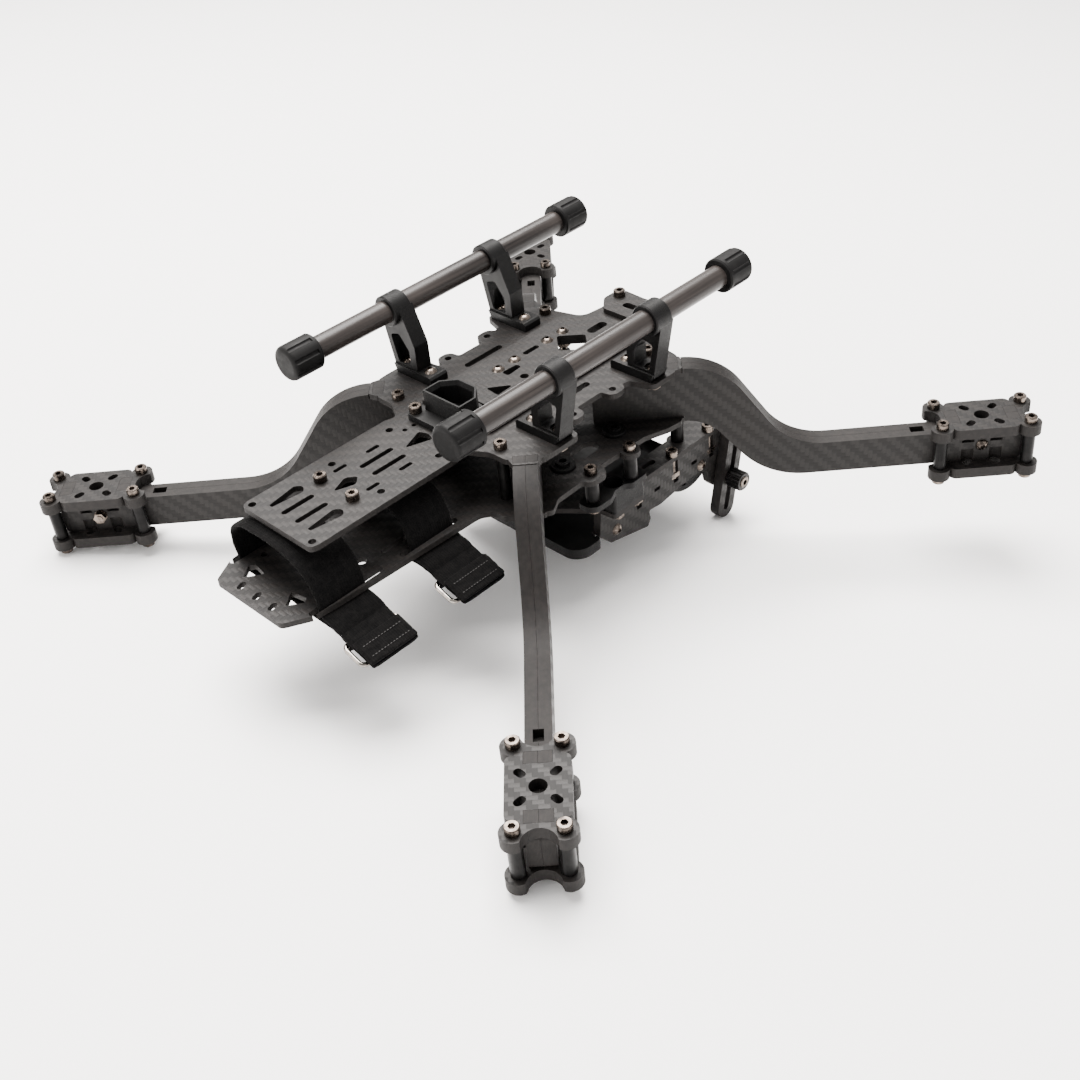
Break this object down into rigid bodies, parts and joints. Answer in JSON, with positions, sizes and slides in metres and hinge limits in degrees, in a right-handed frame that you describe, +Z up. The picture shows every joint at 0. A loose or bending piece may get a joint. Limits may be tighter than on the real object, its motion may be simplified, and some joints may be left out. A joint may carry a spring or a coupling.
{
  "type": "quadcopter airframe",
  "caption": "Four-arm drone airframe of woven carbon plates with double-stacked motor pods, landing rails, a slung camera cage and battery straps, lying upside down.",
  "frame": {"origin": "under the middle of the airframe, at the height of the camera bars' lower tips, with the airframe's plates level", "axes": "+X to the nose, +Y to the left side as it lies upside down, +Z up; in flight the airframe is turned over, so +Z points at the ground"},
  "size_m": [0.3284, 0.3284, 0.1363],
  "materials": {
    "carbon_plate": "matt woven carbon fibre",
    "carbon_arm": "matt woven carbon fibre, layered cut edges",
    "carbon_tube": "satin rolled carbon fibre",
    "cap_rubber": "matt black",
    "printed_plastic": "printed, fine layers",
    "black_post": "black anodised",
    "screw_steel": "dark zinc, satin",
    "knob_black": "black anodised, fluted",
    "strap_fabric": "hook-and-loop pile",
    "ring_wire": "bright wire"
  },
  "bodies": {
    "airframe": {"deck_plate": "carbon_plate", "spine_plate": "carbon_plate", "lower_plate": "carbon_plate", "nose_bar": "carbon_plate", "cage_top_plate": "carbon_plate", "cage_side_left": "carbon_plate", "cage_side_right": "carbon_plate", "arm_front_left_left_ply": "carbon_arm", "arm_front_left_right_ply": "carbon_arm", "arm_front_right_left_ply": "carbon_arm", "arm_front_right_right_ply": "carbon_arm", "arm_rear_left_left_ply": "carbon_arm", "arm_rear_left_right_ply": "carbon_arm", "arm_rear_right_left_ply": "carbon_arm", "arm_rear_right_right_ply": "carbon_arm", "motor_plate_upper_front_left": "carbon_plate", "motor_plate_upper_front_right": "carbon_plate", "motor_plate_upper_rear_left": "carbon_plate", "motor_plate_upper_rear_right": "carbon_plate", "motor_plate_lower_front_left": "carbon_plate", "motor_plate_lower_front_right": "carbon_plate", "motor_plate_lower_rear_left": "carbon_plate", "motor_plate_lower_rear_right": "carbon_plate", "rail_left": "carbon_tube", "rail_right": "carbon_tube", "rail_caps": "cap_rubber", "damper_rings": "cap_rubber", "rail_clamp_front_left": "printed_plastic", "rail_clamp_front_right": "printed_plastic", "rail_clamp_rear_left": "printed_plastic", "rail_clamp_rear_right": "printed_plastic", "connector_holder": "printed_plastic", "cage_tray": "printed_plastic", "front_tray": "printed_plastic", "cage_hangers": "printed_plastic", "deck_posts": "black_post", "pod_posts": "black_post", "cage_posts": "black_post", "plate_socket_screws": "screw_steel", "spine_button_screws": "screw_steel", "deck_nuts": "screw_steel", "holder_screws": "screw_steel", "arm_cross_bolts": "screw_steel", "pod_screws": "screw_steel", "clamp_screws": "screw_steel", "cage_socket_screws": "screw_steel", "hanger_screws": "screw_steel", "hanger_nuts": "screw_steel", "square_nuts": "screw_steel", "side_button_screws": "screw_steel", "strap_rear": "strap_fabric", "strap_front": "strap_fabric"},
    "bush_left": {"bar_bush_left": "screw_steel"},
    "bar_left": {"camera_bar_left": "carbon_plate"},
    "knob_left": {"bar_knob_left": "knob_black", "knob_screw_left": "screw_steel"},
    "bush_right": {"bar_bush_right": "screw_steel"},
    "bar_right": {"camera_bar_right": "carbon_plate"},
    "knob_right": {"bar_knob_right": "knob_black", "knob_screw_right": "screw_steel"},
    "ring_rear": {"buckle_ring_rear": "ring_wire"},
    "ring_front": {"buckle_ring_front": "ring_wire"}
  },
  "joints": [
    {"name": "bar_tilt_left", "type": "hinge", "parent": "airframe", "child": "bush_left", "pos_m": [0.079, 0.043, 0.021], "axis": [0, 1, 0], "range_deg": [-30, 30]},
    {"name": "bar_slide_left", "type": "slide", "parent": "bush_left", "child": "bar_left", "axis": [0.2419, 0, 0.9703], "range_m": [-0.016, 0.012]},
    {"name": "knob_turn_left", "type": "hinge", "parent": "airframe", "child": "knob_left", "pos_m": [0.079, 0.0525, 0.021], "axis": [0, 1, 0], "continuous": true},
    {"name": "bar_tilt_right", "type": "hinge", "parent": "airframe", "child": "bush_right", "pos_m": [0.079, -0.043, 0.021], "axis": [0, 1, 0], "range_deg": [-30, 30]},
    {"name": "bar_slide_right", "type": "slide", "parent": "bush_right", "child": "bar_right", "axis": [0.2419, 0, 0.9703], "range_m": [-0.016, 0.012]},
    {"name": "knob_turn_right", "type": "hinge", "parent": "airframe", "child": "knob_right", "pos_m": [0.079, -0.0525, 0.021], "axis": [0, 1, 0], "continuous": true},
    {"name": "ring_swing_rear", "type": "hinge", "parent": "airframe", "child": "ring_rear", "pos_m": [-0.128, -0.0393, 0.0634], "axis": [1, 0, 0], "range_deg": [-4, 50]},
    {"name": "ring_swing_front", "type": "hinge", "parent": "airframe", "child": "ring_front", "pos_m": [-0.082, -0.0393, 0.0634], "axis": [1, 0, 0], "range_deg": [-4, 50]}
  ]
}
